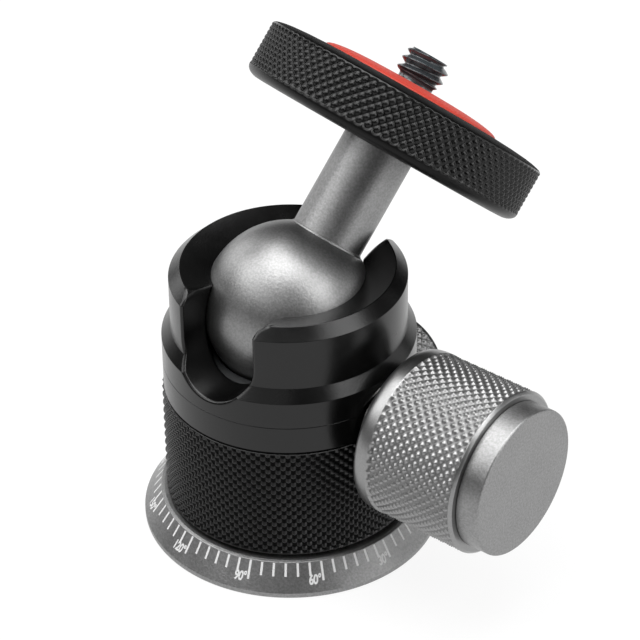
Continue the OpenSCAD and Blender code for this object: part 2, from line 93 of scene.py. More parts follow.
def metal(
    name,
    colour,
    rough,
    metallic=1.0,
    grain=0.2,
    grain_depth=0.01,
    tone=0.06,
    rough_spread=0.06,
    specular=0.5,
    bump=0.6,
):
    """A metal surface: blasting or turning grain in tone and bump, and a slight drift of tone and gloss.
    grain is the width of the grain and grain_depth its depth, both in millimetres."""
    m = bpy.data.materials.new(name)
    m.use_nodes = True
    t = m.node_tree
    t.nodes.clear()
    out = add(t, "ShaderNodeOutputMaterial")
    s = add(t, "ShaderNodeBsdfPrincipled", Metallic=metallic, Specular_IOR_Level=specular)
    t.links.new(s.outputs[0], out.inputs[0])
    at = [("Vector", add(t, "ShaderNodeTexCoord").outputs["Object"])]
    fine = add(t, "ShaderNodeTexNoise", at, Scale=METRE / grain, Detail=2.0, Roughness=0.6)
    wide = add(t, "ShaderNodeTexNoise", at, Scale=METRE / PATCH, Detail=3.0, Roughness=0.55)
    c = linear(colour)
    noise = [("Value", fine.outputs[0])]
    sharp = add(t, "ShaderNodeMapRange", noise, From_Min=NOISE_LOW, From_Max=NOISE_HIGH)
    both = add(t, "ShaderNodeMath", [(0, sharp.outputs[0]), (1, wide.outputs[0])], operation="ADD")
    half = add(t, "ShaderNodeMath", [(0, both.outputs[0])], operation="MULTIPLY")
    half.inputs[1].default_value = 0.5
    mixed = add(t, "ShaderNodeMix", [(0, half.outputs[0])], data_type="RGBA")
    mixed.inputs[MIX_DARK].default_value = tuple(v * (1 - tone) for v in c[:3]) + (1,)
    mixed.inputs[MIX_LIGHT].default_value = tuple(min(v * (1 + tone), 1) for v in c[:3]) + (1,)
    t.links.new(mixed.outputs[MIX_RESULT], s.inputs["Base Color"])
    least, most = max(rough - rough_spread, LEAST_ROUGH), rough + rough_spread
    gloss = add(t, "ShaderNodeMapRange", [("Value", wide.outputs[0])], To_Min=least, To_Max=most)
    t.links.new(gloss.outputs[0], s.inputs["Roughness"])
    b = add(t, "ShaderNodeBump", [("Height", fine.outputs[0])], Strength=bump, Distance=grain_depth * MM)
    t.links.new(b.outputs[0], s.inputs["Normal"])
    return m


def black_coat(name, colour, rough, specular, tone=0.3, grain=0.3, grain_depth=0.014):
    """Black anodising or paint: the layer hides the metal, so only its own sheen is seen."""
    return metal(name, colour, rough, 0.0, grain, grain_depth, tone, specular=specular)


def plain(name, colour, rough, grain, depth, tone=0.08):
    """Rubber, paint or plastic: no metal, a pebbled fine surface and a slight change of tone."""
    return metal(name, colour, rough, 0.0, grain, depth, tone, rough_spread=0.05)


# Bead blasting gives the grey parts a fine even grain that scatters the highlight. The real grain is about
# 0.1 mm; it is drawn three times as coarse so that it shows.
BLAST = {"grain": 0.3, "bump": 0.8}
BLASTED = metal("bead_blasted_grey_aluminium", "8c8c8c", 0.42, grain_depth=0.03, tone=0.26, **BLAST)
# The ball is blasted and then rubbed by the socket: a broad soft highlight with a sparkle in it.
BALL = metal(
    "satin_ball_aluminium", "8c8c8c", 0.42, grain_depth=0.028, tone=0.24, rough_spread=0.04, **BLAST
)
# Knurled grey aluminium is rolled after blasting: crests shine.
KNURLED = metal("knurled_grey_aluminium", "949494", 0.40, grain_depth=0.006, tone=0.1)
# Its grooves are never rubbed and stay dull; their darker colour is painted shade, the shadow deep in the
# grooves.
GREY_GROOVE_SHADE = metal("grey_groove_painted_shade", "7a7a7a", 0.48, grain_depth=0.006, tone=0.1)
# A turned flare or shoulder keeps a smoother cut.
TURNED = metal("turned_grey_aluminium", "8e8e8e", 0.33, grain=0.22, tone=0.12)
# Black anodising over a fine satin: a dark surface with a soft grey sheen.
BLACK = black_coat("satin_black_anodised_aluminium", "060606", 0.25, 0.38, tone=0.4)
# The camera plate's smooth edges are duller than the housing: below the knurl they take a darker, less
# reflective copy of the black, painted shade for the dark surroundings that the underside faces.
BLACK_UNDERSIDE_SHADE = black_coat("black_anodised_underside_painted_shade", "050505", 0.36, 0.18)
# Its top round the pad is the dullest: hardly any sheen even at a glancing angle.
TOP_BLACK = black_coat("dull_black_paint", "070707", 0.6, 0.03)
# On the knurls the same anodising lies over a rolled surface, slightly rougher and with a finer grain.
ROLLED = {"grain": 0.2, "grain_depth": 0.005}
BLACK_KNURL = black_coat("knurled_black_anodised_aluminium", "070707", 0.30, 0.47, **ROLLED)
# The plate's knurl has wide level diamonds with narrow grooves, polished all over.
PLATE_KNURL = black_coat("finely_knurled_black_anodised_aluminium", "030303", 0.27, 0.3, **ROLLED)
# The grooves between the housing's diamonds are never rubbed and stay dull; their darker colour and weaker
# reflection are painted shade, the shadow deep in the grooves.
BLACK_GROOVE_SHADE = black_coat("black_groove_painted_shade", "030303", 0.55, 0.06, **ROLLED)
# Blackened steel of the camera screw: dark, with flanks that still catch the light.
CUT = {"grain": 0.3, "grain_depth": 0.004}
BLACKENED = metal("blackened_steel", "34393c", 0.2, 0.3, tone=0.12, specular=0.8, **CUT)
# Stainless steel as turned: bright, with hardly any grain.
STEEL = metal("turned_stainless_steel", "b9b8b6", 0.24, **CUT)
# Brass as turned: nearly the same gloss, with a warm yellow reflection.
BRASS = metal("turned_brass", "b58f4d", 0.28, tone=0.08, **CUT)
# Moulded silicone rubber, matte with a fine pebble.
PAD = plain("orange_silicone_rubber", "a52b1a", 0.6, 0.3, 0.03, tone=0.14)
# White paint filled into the engraved dial: flat and matte.
MARKING = plain("white_engraving_fill", "d4d4d4", 0.6, 0.2, 0.004, tone=0.02)
# Moulded acetal, grey, for the cup that the ball sits in: a slippery plastic with a low sheen.
CUP = plain("grey_acetal_plastic", "3e3f40", 0.45, 0.3, 0.004)
# The same plastic, white, for the glide washer.
GLIDE = plain("white_acetal_plastic", "e9e8e4", 0.4, 0.3, 0.004)


# ----------------------------------------------------------------- geometry


def placed(name, data):
    """Object that holds the data, put into the scene."""
    o = bpy.data.objects.new(name, data)
    bpy.context.scene.collection.objects.link(o)
    return o


def on_axis(axis, origin):
    """Matrix that puts local Z along axis and local 0 at origin (millimetres)."""
    a = np.array(axis, float) / np.linalg.norm(axis)
    t = np.array([0.0, 0, 1]) if abs(a[2]) < 0.9 else np.array([1.0, 0, 0])
    e1 = np.cross(t, a)
    e1 /= np.linalg.norm(e1)
    e2 = np.cross(a, e1)
    m = np.eye(4)
    m[:3, 0], m[:3, 1], m[:3, 2], m[:3, 3] = e1, e2, a, origin
    return m


UPRIGHT = np.eye(4)
LOCK_AXIS = on_axis((1, 0, 0), (0, 0, LOCK_Z))
PAN_AXIS = on_axis((0, 1, 0), (0, 0, PAN_Z))
ON_STEM = on_axis(STEM_AXIS, (0, 0, BALL_Z))
POLE = 0.003  # radius at which a surface that closes on its axis ends
ROUND = 256  # steps round a smooth piece
PER_DIAMOND = 8  # steps and rows to each diamond of a knurl
SAME_DEPTH = 1e-4  # radii nearer than this count as equally deep
SMOOTH, KNURL, GROOVE = 0, 1, 2  # material slots of a knurled piece


def mesh_of(name, verts, quads, uv=None, slots=None):
    """Mesh object from points in millimetres and a face table, shaded smooth."""
    me = bpy.data.meshes.new(name)
    v = np.asarray(verts, np.float32) * MM
    q = np.asarray(quads, np.int32)
    me.vertices.add(len(v))
    me.vertices.foreach_set("co", v.ravel())
    me.loops.add(q.size)
    me.loops.foreach_set("vertex_index", q.ravel())
    me.polygons.add(len(q))
    me.polygons.foreach_set("loop_start", np.arange(0, q.size, q.shape[1], dtype=np.int32))
    me.polygons.foreach_set("use_smooth", np.ones(len(q), bool))
    if slots is not None:
        me.polygons.foreach_set("material_index", np.asarray(slots, np.int32))
    me.update(calc_edges=True)
    if uv is not None:
        layer = me.uv_layers.new(name="millimetres")
        layer.data.foreach_set("uv", np.asarray(uv, np.float32)[q.ravel()].ravel())
    me.validate()
    return placed(name, me)


def finish_piece(o, body, node, slot, *materials):
    """Gives a piece its materials and its body, and hides the node that it stands for. slot is not used."""
    for m in materials:
        o.data.materials.append(m)
    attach(o, body)
    if node:
        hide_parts(node)


MOST_OF_EDGE = 0.45  # share of an edge that the arc at one of its ends may take
GUARD = 0.03  # distance of a guard point from its arc
GUARD_SHARE = 0.1  # or this share of the edge, where that is less


def rounded(corners, steps=4, closed=True):
    """Profile with rounded corners: each (r, z, radius) corner becomes the arc that touches both its edges.
    A guard point stands just outside each end of an arc, so flats stay flat under smooth shading."""
    n = len(corners)
    out = []
    for i, (x, y, rad) in enumerate(corners):
        p = np.array([x, y], float)
        if rad <= 0 or (not closed and i in (0, n - 1)):
            out.append(p)
            continue
        a = np.array(corners[i - 1][:2], float) - p
        b = np.array(corners[(i + 1) % n][:2], float) - p
        la, lb = np.linalg.norm(a), np.linalg.norm(b)
        a, b = a / la, b / lb
        half = math.acos(max(-1, min(1, float(a @ b)))) / 2
        cut = min(rad / math.tan(half), MOST_OF_EDGE * la, MOST_OF_EDGE * lb)
        r = cut * math.tan(half)
        mid = (a + b) / np.linalg.norm(a + b)
        centre = p + mid * r / math.sin(half)
        s, e = p + a * cut, p + b * cut
        guard = min(GUARD, GUARD_SHARE * la, GUARD_SHARE * lb)
        t0 = math.atan2(*(s - centre)[::-1])
        t1 = math.atan2(*(e - centre)[::-1])
        d = (t1 - t0 + math.pi) % TAU - math.pi
        arc = [t0 + d * k / steps for k in range(steps + 1)]
        out.append(s + a * guard)
        out += [centre + r * np.array([math.cos(t), math.sin(t)]) for t in arc]
        out.append(e + b * guard)
    return np.array(out)


def spread(z0, z1, n):
    """n + 1 even stations from z0 to z1."""
    return np.linspace(z0, z1, n + 1)


def turned(name, profile, count, place=UPRIGHT, closed=True, relief=None, slot_of=None, groove=None):
    """Surface of revolution: a profile of (radius, height) carried round the axis in count steps.
    relief(angle, height, radius) is added to the radius, so a knurl or thread is cut into the same surface.
    slot_of(radius, height) picks the material slot of each face. groove is the share of the knurl's full
    depth below which a face belongs to its grooves and takes their slot, whose darker material paints the
    shade in the grooves."""
    p = np.asarray(profile, float)
    rows = len(p)
    th = np.arange(count) * TAU / count
    T, R = np.meshgrid(th, p[:, 0])
    H = np.repeat(p[:, 1:2], count, 1)
    if relief is not None:
        cut = relief(T, H, R)
        R = R + cut
    pts = np.stack([R * np.cos(T), R * np.sin(T), H], -1).reshape(-1, 3)
    pts = pts @ place[:3, :3].T + place[:3, 3]
    last = rows if closed else rows - 1
    i, j = np.meshgrid(np.arange(last), np.arange(count), indexing="ij")
    k, l = (i + 1) % rows, (j + 1) % count
    q = np.stack([i * count + j, i * count + l, k * count + l, k * count + j], -1).reshape(-1, 4)
    if relief is not None:
        # a face is split from its first to its third corner: the deeper pair goes there, so that grooves
        # stay open
        r = R.ravel()
        across = r[q[:, 0]] + r[q[:, 2]] > r[q[:, 1]] + r[q[:, 3]] + SAME_DEPTH
        q[across] = np.roll(q[across], 1, axis=1)
    slots = None
    if slot_of is not None:
        middles = (p[:last] + p[(np.arange(last) + 1) % rows]) / 2
        slots = np.repeat([slot_of(r, h) for r, h in middles], count)
        if groove is not None:
            # the deepest faces take the groove slot: its darker material is painted shade
            deep = cut.ravel()[q].mean(1) < groove * cut.min()
            slots[(slots == KNURL) & deep] = GROOVE
    arc = np.r_[0, np.cumsum(np.linalg.norm(np.diff(p, axis=0), axis=1))]
    uv = np.stack([T * p[:, :1].max(), np.repeat(arc[:, None], count, 1)], -1).reshape(-1, 2)
    return mesh_of(name, pts, q, uv, slots)


def triangle(t):
    """Triangle wave: 0 at whole numbers, 1 half way between."""
    return 1 - 2 * np.abs((t % 1.0) - 0.5)


def swell(t):
    """Curve of a soft round edge: 1 and level at t = 0, falling ever more steeply to 0 at t = 1."""
    return (1 - t**3.2) ** 0.5


KNURL_REACH = 0.13  # a row this near to the knurl's own radius is cut by it


def knurl(starts, radius, z0, z1, depth, per=PER_DIAMOND, run_out=0.1, tip=1.25, flat=0.14):
    """Diamond knurl: left and right handed V grooves at 45 degrees leave rows of small pyramids. A tip of 1
    is sharp, 2 is round and 3 nearly level; flat is the share of a groove's half spacing that its bottom
    takes. The grooves run out over the narrow chamfers at the ends of the band. Gives the relief, and the
    band's rows: per of them to each diamond, so that the grooves fall on them."""
    count = int(round((z1 - z0) / (TAU * radius / starts) * per))
    period = (z1 - z0) * per / count

    def relief(T, H, R):
        u = T * starts / TAU
        w = (H - z0) / period
        a, b = (np.clip((triangle(t) - flat) / (1 - flat), 0, 1) for t in (u + w, u - w))
        crest = (1 - (1 - a) ** tip) * (1 - (1 - b) ** tip)
        inside = np.clip(np.minimum(H - z0, z1 - H) / run_out + 1, 0, 1)
        return np.where(np.abs(R - radius) < KNURL_REACH, -depth * (1 - crest) * inside, 0.0)

    return [(radius, z) for z in spread(z0, z1, count)], relief


# --------------------------------------------------------------- base disc

BASE_R = 19.85
BASE_H = 4.2
BASE_RIM_Z = 0.8
DIAL_TOP_R = 17.5
DIAL_TOP_Z = 4.1
BASE_BORE_R = 6.52
FLANGE_R = 10.52
FLANGE_Z = 2.3
GRIP_RINGS = (13.85, 16.85)
GRIP_HALF = 0.5
GRIP_DEPTH = 0.4
FINE_EDGE = 0.05
grips = [
    (ring + side * GRIP_HALF, z, FINE_EDGE)
    for ring in GRIP_RINGS
    for side, z in ((-1, 0), (-1, GRIP_DEPTH), (1, GRIP_DEPTH), (1, 0))
]
base_profile = rounded(
    [
        (FLANGE_R, 0, FINE_EDGE),
        *grips,
        (BASE_R, 0, 0.25),
        (BASE_R, BASE_RIM_Z, 0.12),
        (DIAL_TOP_R, DIAL_TOP_Z, 0.12),
        (DIAL_TOP_R - 0.4, BASE_H, 0.08),
        (BASE_BORE_R, BASE_H, 0),
        (BASE_BORE_R, FLANGE_Z, 0),
        (FLANGE_R, FLANGE_Z, 0),
    ]
)
base = turned("dial_base_disc", base_profile, ROUND)
finish_piece(base, "base", "base_disc", "grey_alloy", BLASTED)

# Dial: ticks and numbers lie on the slope of the base disc
SLOPE_TOP = np.array([DIAL_TOP_R, DIAL_TOP_Z])
SLOPE_DIR = np.array([BASE_R - DIAL_TOP_R, BASE_RIM_Z - DIAL_TOP_Z])
SLOPE_DIR /= np.linalg.norm(SLOPE_DIR)
SLOPE_OUT = np.array([-SLOPE_DIR[1], SLOPE_DIR[0]])
DIAL_ZERO = math.radians(111.55)
PAINT = 0.012  # height of the marks above the slope
TICK_STEP = 5  # degrees, as the next one
NUMBER_STEP = 30
TICK_START = 0.1
TICK_HALF = 0.15
SHORT_TICK = 1.86
LONG_TICK = 2.62
DIGIT_LINE = 2.95
DIGIT_WIDTH = 0.72
DIGIT_GAP = 0.22
DIGITS = {"size": 1.75, "shear": 0.18, "offset": 0.06, "space_character": 0.92, "resolution_u": 4}


def on_slope(azimuth, across, down):
    """Point on the dial's slope: azimuth from -Y towards +X, then millimetres to the right and down."""
    r, z = SLOPE_TOP + SLOPE_DIR * down + SLOPE_OUT * PAINT
    a = azimuth + across / r
    return (r * math.sin(a), -r * math.cos(a), z)


def dial_ticks():
    """Bars every five degrees, the ones at every thirtieth degree longer."""
    verts, quads = [], []
    for value in range(0, 360, TICK_STEP):
        a = DIAL_ZERO - math.radians(value)
        end = SHORT_TICK if value % NUMBER_STEP else LONG_TICK
        b = len(verts)
        places = (TICK_START, end * 0.5, end)
        verts += [on_slope(a, x, down) for down in places for x in (-TICK_HALF, TICK_HALF)]
        quads += [(b, b + 2, b + 3, b + 1), (b + 2, b + 4, b + 5, b + 3)]
    return mesh_of("dial_ticks", verts, quads)


def dial_numbers():
    """Degree numbers from the built-in letter shapes, laid on the slope beside each long tick."""
    verts, faces = [], []
    for value in range(0, 360, NUMBER_STEP):
        curve = bpy.data.curves.new("digits", "FONT")
        curve.body = f"{value}°"
        for key, v in DIGITS.items():
            setattr(curve, key, v)
        o = placed("digits", curve)
        me = o.to_mesh()
        p = np.zeros(len(me.vertices) * 3)
        me.vertices.foreach_get("co", p)
        p = p.reshape(-1, 3)
        width = p[:, 0].max()
        a = DIAL_ZERO - math.radians(value)
        faces += [[len(verts) + i for i in f.vertices] for f in me.polygons]
        verts += [on_slope(a, (x - width) * DIGIT_WIDTH - DIGIT_GAP, DIGIT_LINE - y) for x, y, _ in p]
        o.to_mesh_clear()
        bpy.data.objects.remove(o)
        bpy.data.curves.remove(curve)
    me = bpy.data.meshes.new("dial_numbers")
    me.from_pydata([tuple(c * MM for c in v) for v in verts], [], faces)
    me.update()
    return placed("dial_numbers", me)


for marks in (dial_ticks(), dial_numbers()):
    finish_piece(marks, "base", None, "grey_alloy", MARKING)

# ----------------------------------------------------------------- housing

KNURL_R = 16.8
BODY_R = 16.55
NECK_Z = 21.3
NECK_IN = 0.25  # depth and width of the narrow groove above the knurl
NECK_W = 0.3
JOINT_Z = 25.15
HOUSE_Z = 4.5
HOUSE_BORE_R = 6.54
SPIGOT_R = 14.5
SPIGOT_Z = 26.4
CHAMBER_R = 11.2
CHAMBER_Z = 17.4
COVER_R = 9.2
COVER_Z = 14.2
LOCK_FACE = 15.6
LOCK_FLAT_R = 6.3
PAN_FACE = 16.0
PAN_FLAT_R = 4.3
WALL_ROWS = 13
HOUSE_STARTS = 80  # diamonds round the knurl, as the other STARTS
house_band, house_cut = knurl(HOUSE_STARTS, KNURL_R, HOUSE_Z + 0.4, NECK_Z - 0.46, depth=0.44, tip=1.5)
lower = rounded(
    [
        (HOUSE_BORE_R, HOUSE_Z, 0),
        (KNURL_R - 0.35, HOUSE_Z, 0.1),
        (KNURL_R - 0.2, HOUSE_Z + 0.2, 0),
        (KNURL_R - 0.1, HOUSE_Z + 0.3, 0),
    ],
    closed=False,
)
upper = rounded(
    [
        (KNURL_R - 0.03, NECK_Z - 0.44, 0),
        (KNURL_R - 0.1, NECK_Z - 0.38, 0),
        (KNURL_R - 0.22, NECK_Z - NECK_W, 0),
        (BODY_R - NECK_IN, NECK_Z - NECK_W, 0.03),
        (BODY_R - NECK_IN, NECK_Z, 0.03),
        (BODY_R, NECK_Z, 0.06),
        (BODY_R, JOINT_Z, 0.08),
        (SPIGOT_R, JOINT_Z, 0),
        (SPIGOT_R, SPIGOT_Z, 0),
        (CHAMBER_R, SPIGOT_Z, 0),
        (CHAMBER_R, CHAMBER_Z, 0),
        (COVER_R, CHAMBER_Z, 0),
        (COVER_R, COVER_Z, 0),
        (HOUSE_BORE_R, COVER_Z, 0),
    ],
    steps=2,
    closed=False,
)
# rows are close together over the lock washer's flat, so its round edge comes out clean
neck_rows = []
for a, b in zip(upper[:-1], upper[1:]):
    neck_rows.append(a)
    if abs(a[0] - BODY_R) < 1e-6 and abs(b[0] - BODY_R) < 1e-6 and b[1] - a[1] > 1:
        neck_rows += [(a[0], z) for z in spread(a[1], b[1], WALL_ROWS)[1:-1]]
neck_rows.append(upper[-1])
housing = turned(
    "knurled_housing",
    np.vstack([lower, house_band, neck_rows]),
    HOUSE_STARTS * PER_DIAMOND,
    relief=house_cut,
    groove=0.79,
    slot_of=lambda r, h: KNURL if r > KNURL_R - 0.01 else SMOOTH,
)


def press_flats(o, flats):
    """Presses the round flats for the washers into a surface: what lies within a flat's circle moves back
    to its plane. Each flat is (axis, plane, height, radius)."""
    me = o.data
    p = np.zeros(len(me.vertices) * 3, np.float32)
    me.vertices.foreach_get("co", p)
    p = p.reshape(-1, 3) / MM
    for axis, plane, height, radius in flats:
        side = 1 - axis
        inside = (np.hypot(p[:, side], p[:, 2] - height) < radius) & (p[:, axis] > plane)
        p[inside, axis] = plane
    me.vertices.foreach_set("co", (p * MM).ravel())
    me.update()


LOCK_FLAT = (0, LOCK_FACE, LOCK_Z, LOCK_FLAT_R)
PAN_FLAT = (1, PAN_FACE, PAN_Z, PAN_FLAT_R)
press_flats(housing, [LOCK_FLAT, PAN_FLAT])
finish_piece(housing, "head", "housing", "black_alloy", BLACK, BLACK_KNURL, BLACK_GROOVE_SHADE)

# ------------------------------------------------------------ notched collar

TOP_Z = 39.0
RIM_R = 13.85
RIM_Z = 37.6
WALL_R = 15.35
WALL_Z = 30.5
SHOULDER_Z = 28.9
MOUTH_R = 9.9
SOCKET_R = 11.15
MOUTH_Z = BALL_Z + math.sqrt(SOCKET_R**2 - MOUTH_R**2)
NOTCH_R = 5.7
NOTCH_Z = 32.8
CORNER_R = 1.2
CORNER_Z = TOP_Z - CORNER_R
RECESS_R = 14.52
RECESS_Z = 26.45
EDGE = 0.28  # width of the bevel along the notches
HALF_COUNT = 150  # steps round each half of the collar
WELD = 0.004  # points nearer than this are merged


def outer_r(z):
    """Outer radius of the collar at a height."""
    pts = [(JOINT_Z, BODY_R), (SHOULDER_Z, BODY_R), (WALL_Z, WALL_R), (RIM_Z, WALL_R), (TOP_Z, RIM_R)]
    return float(np.interp(z, *zip(*pts)))


def inner_r(z):
    """Inner radius of the collar at a height: seat bore, ball socket, then the open cone."""
    if z <= BALL_Z:
        return CHAMBER_R
    if z <= MOUTH_Z:
        return math.sqrt(SOCKET_R**2 - (z - BALL_Z) ** 2)
    return MOUTH_R + (RIM_R - MOUTH_R) * (z - MOUTH_Z) / (TOP_Z - MOUTH_Z)


def notch_at(z):
    """The notch's outline by the height of its bevel's outer line: half width of that line there, then half
    width and height of the outline's point square to it. Round bottom, straight sides, corners rounded out
    to the top edge."""
    n, c, e = NOTCH_R, CORNER_R, EDGE
    if z < NOTCH_Z:
        a = math.acos(min((NOTCH_Z - z) / (n + e), 1))
        return (n + e) * math.sin(a), n * math.sin(a), NOTCH_Z - n * math.cos(a)
    if z < CORNER_Z:
        return n + e, n, z
    if z < TOP_Z - e:
        a = math.asin((z - CORNER_Z) / (c - e))
        return n + c - (c - e) * math.cos(a), n + c - c * math.cos(a), CORNER_Z + c * math.sin(a)
    return n + c, n + c, TOP_Z


def collar_heights(low):
    """Heights of the collar's rows, below the notch's bottom and above it: even steps along the notch's
    outline, and rows close to each edge so that its shading stays narrow."""
    quarter = math.pi / 2
    zs = [NOTCH_Z - (NOTCH_R + EDGE) * math.cos(a) for a in np.linspace(0, quarter, 30)]
    zs += list(spread(NOTCH_Z, CORNER_Z, 8))
    zs += [CORNER_Z + (CORNER_R - EDGE) * math.sin(a) for a in np.linspace(0, quarter, 12)]
    zs += [TOP_Z - EDGE / 2, TOP_Z - 0.05, TOP_Z, BALL_Z, MOUTH_Z - 0.05, MOUTH_Z, MOUTH_Z + 0.05]
    zs += [z + g for z in (SHOULDER_Z, WALL_Z, RIM_Z) for g in (-0.04, 0, 0.04)]
    zs = sorted(set(round(z, 5) for z in zs))
    zs = [z for i, z in enumerate(zs) if i == 0 or z - zs[i - 1] > WELD]
    below = [JOINT_Z, JOINT_Z + 0.03, JOINT_Z + 0.06, *spread(JOINT_Z + 0.08, low - 0.03, 8)]
    return below, zs


def collar():
    """Notched collar as two mirrored half rings. Each row of a ring lies at one height and runs between the
    bevels of the two notches; the notch walls and the narrow bevel join the outer and inner surfaces along
    the outline."""
    low = NOTCH_Z - NOTCH_R - EDGE
    below, zs = collar_heights(low)
    count = HALF_COUNT
    w = count + 1
    foot_in = {JOINT_Z: 0.05, JOINT_Z + 0.03: 0.015}
    shares = (0, 0.04, 0.2, 0.4, 0.6, 0.8, 0.96, 1)
    m = len(shares)
    verts, quads = [], []

    def put(block):
        """Adds points and gives the number of the first."""
        start = len(verts)
        verts.extend(block)
        return start

    def ring(heights, radius, flip):
        """Rows of points at the heights, from one notch's bevel round to the other's."""
        start = len(verts)
        for z in heights:
            r = radius(z)
            h = min(notch_at(z)[0], r * 0.999) if z > low else 0.0
            t0 = math.asin(h / r)
            ts = np.linspace(t0, math.pi - t0, w)
            put([(sign * r * math.sin(t), -r * math.cos(t), z) for t in ts])
        for i in range(len(heights) - 1):
            for j in range(count):
                a, b = start + i * w + j, start + (i + 1) * w + j
                f = (a, a + 1, b + 1, b)
                quads.append(f if (flip ^ (sign < 0)) else f[::-1])
        return start

    for sign in (1, -1):
        outside = ring(below + zs, lambda z: outer_r(z) - foot_in.get(z, 0), True) + len(below) * w
        inside = ring(zs, inner_r, False)
        for end, ysign in ((0, -1), (count, 1)):
            # wall of the notch: columns run from the outer bevel inwards
            wall = len(verts)
            for z in zs:
                _, h, zw = notch_at(z)
                yo, yi = (math.sqrt(max(r(zw) ** 2 - h * h, 0)) for r in (outer_r, inner_r))
                room = max(yo - yi, 0)
                e = min(EDGE, room * 0.3)
                put([(sign * h, ysign * (yo - e - (room - 2 * e) * k), zw) for k in shares])
            for i in range(len(zs) - 1):
                a, b = wall + i * m, wall + (i + 1) * m
                outer, inner = outside + i * w + end, inside + i * w + end
                strips = [(a + k, a + k + 1, b + k + 1, b + k) for k in range(m - 1)]
                strips += [(outer, a, b, outer + w), (a + m - 1, inner, inner + w, b + m - 1)]
                quads.extend(f if (ysign * sign > 0) else f[::-1] for f in strips)
    # seat bore, recess and underside, all the way round
    n = 2 * count
    loop = [(CHAMBER_R, low), (CHAMBER_R, RECESS_Z), (RECESS_R, RECESS_Z), (RECESS_R, JOINT_Z)]
    loop.append((BODY_R - foot_in[JOINT_Z], JOINT_Z))
    start = put([(r * math.sin(t), -r * math.cos(t), z) for r, z in loop for t in np.arange(n) * TAU / n])
    for i in range(len(loop) - 1):
        for j in range(n):
            k = (j + 1) % n
            a, b = start + i * n, start + (i + 1) * n
            quads.append((a + j, b + j, b + k, a + k))
    return mesh_of("notched_socket_collar", verts, quads)


ring_collar = collar()
press_flats(ring_collar, [LOCK_FLAT])
weld = ring_collar.modifiers.new("weld", "WELD")
weld.merge_threshold = WELD * MM
finish_piece(ring_collar, "head", "socket_collar", "black_alloy", BLACK)

# ------------------------------------------------------------- ball and stem

STEM_R = 4.87
STEM_END = 23.35
STEM_BORE_R = 3.3
JOIN_H = math.sqrt(BALL_R**2 - STEM_R**2)
JOIN_GAP = 0.012  # angle by which the ball's last row stops short of the stem
BALL_SPAN = math.pi - math.asin(STEM_R / BALL_R) - JOIN_GAP
BALL_POLE = 0.002
ball_rows = [
    (max(BALL_R * math.sin(t), BALL_POLE), -BALL_R * math.cos(t)) for t in np.linspace(0, BALL_SPAN, 90)
]
stem_rows = rounded(
    [
        (STEM_R + 0.15, JOIN_H - 0.03, 0),
        (STEM_R, JOIN_H + 0.13, 0.04),
        (STEM_R, STEM_END, 0.1),
        (STEM_BORE_R, STEM_END, 0),
    ],
    closed=False,
)
ball = turned(
    "ball_and_stem",
    np.vstack([ball_rows, stem_rows]),
    ROUND,
    ON_STEM,
    closed=False,
    slot_of=lambda r, h: 0 if h < JOIN_H else 1,
)
finish_piece(ball, "ball", "ball_stem", "grey_alloy", BALL, BLASTED)

# -------------------------------------------------------------- camera plate

PLATE_R = 19.7
PLATE_LOW = 23.4
PLATE_TOP = 31.44
LOW_EDGE_IN = 1.9
KNURL_LOW = 24.65
KNURL_HIGH = 30.65
PLATE_STARTS = 98
SPIGOT_BORE_R = 4.04
SPIGOT_BORE_Z = 27.45
SCREW_BORE_R = 3.2
WELL_R = 12.47  # the pad lies in this well
WELL_Z = 30.46
BELOW, ON_TOP = 2, 3  # further material slots of the plate
PLATE_RUN = 0.12  # height over which the knurl's grooves run out
PLATE_BAND = (KNURL_LOW + PLATE_RUN, KNURL_HIGH - PLATE_RUN)
plate_band, plate_cut = knurl(
    PLATE_STARTS, PLATE_R, *PLATE_BAND, depth=0.32, run_out=PLATE_RUN, tip=2.6, flat=0.0
)
LOW_EDGE_H = KNURL_LOW - PLATE_LOW
low_edge = [
    (PLATE_R - LOW_EDGE_IN * (1 - math.sin(a)), KNURL_LOW - LOW_EDGE_H * math.cos(a))
    for a in np.linspace(0, math.pi / 2, 10)
]
# the upper edge falls away from the knurl in one long soft curve: steps inwards and heights above the knurl
UPPER_EDGE = (
    (0.02, -0.06),
    (0.06, 0),
    (0.16, 0.15),
    (0.42, 0.29),
    (0.85, 0.42),
    (1.5, 0.56),
    (2.5, 0.71),
    (4.5, 0.88),
)
plate_profile = np.vstack(
    [
        [(SPIGOT_BORE_R, PLATE_LOW), (PLATE_R - 2.6, PLATE_LOW), (PLATE_R - 1.95, PLATE_LOW)],
        low_edge,
        plate_band,
        [(PLATE_R - inwards, KNURL_HIGH + above) for inwards, above in UPPER_EDGE],
        [
            (PLATE_R - 6.7, PLATE_TOP + 0.2),
            (WELL_R + 0.08, PLATE_TOP + 0.22),
            (WELL_R, PLATE_TOP + 0.17),
            (WELL_R, WELL_Z),
            (SCREW_BORE_R, WELL_Z),
            (SCREW_BORE_R, SPIGOT_BORE_Z),
            (SPIGOT_BORE_R, SPIGOT_BORE_Z),
        ],
    ]
)


def plate_slot(r, h):
    """Material slot of the plate's faces. The narrow rim above the knurl is smooth, and its grooves have no
    slot of their own: the last two slots are the duller faces below it, whose darker copy of the black is
    painted shade, and on top."""
    if r > PLATE_R - 0.01 and PLATE_BAND[0] < h < PLATE_BAND[1]:
        return KNURL
    if KNURL_HIGH - 0.2 < h < KNURL_HIGH + 0.1:
        return SMOOTH
    return BELOW if h < KNURL_HIGH else ON_TOP


plate = turned(
    "knurled_camera_plate",
    plate_profile,
    PLATE_STARTS * PER_DIAMOND,
    ON_STEM,
    relief=plate_cut,
    slot_of=plate_slot,
)
finish_piece(plate, "plate", "top_plate", "black_alloy", BLACK, PLATE_KNURL, BLACK_UNDERSIDE_SHADE, TOP_BLACK)

PAD_TOP = 32.56
PAD_R = 12.45
PAD_EDGE_Z = 31.62
PAD_RISE = 1.07
PAD_LOW = 30.47
PAD_BORE_R = 3.25
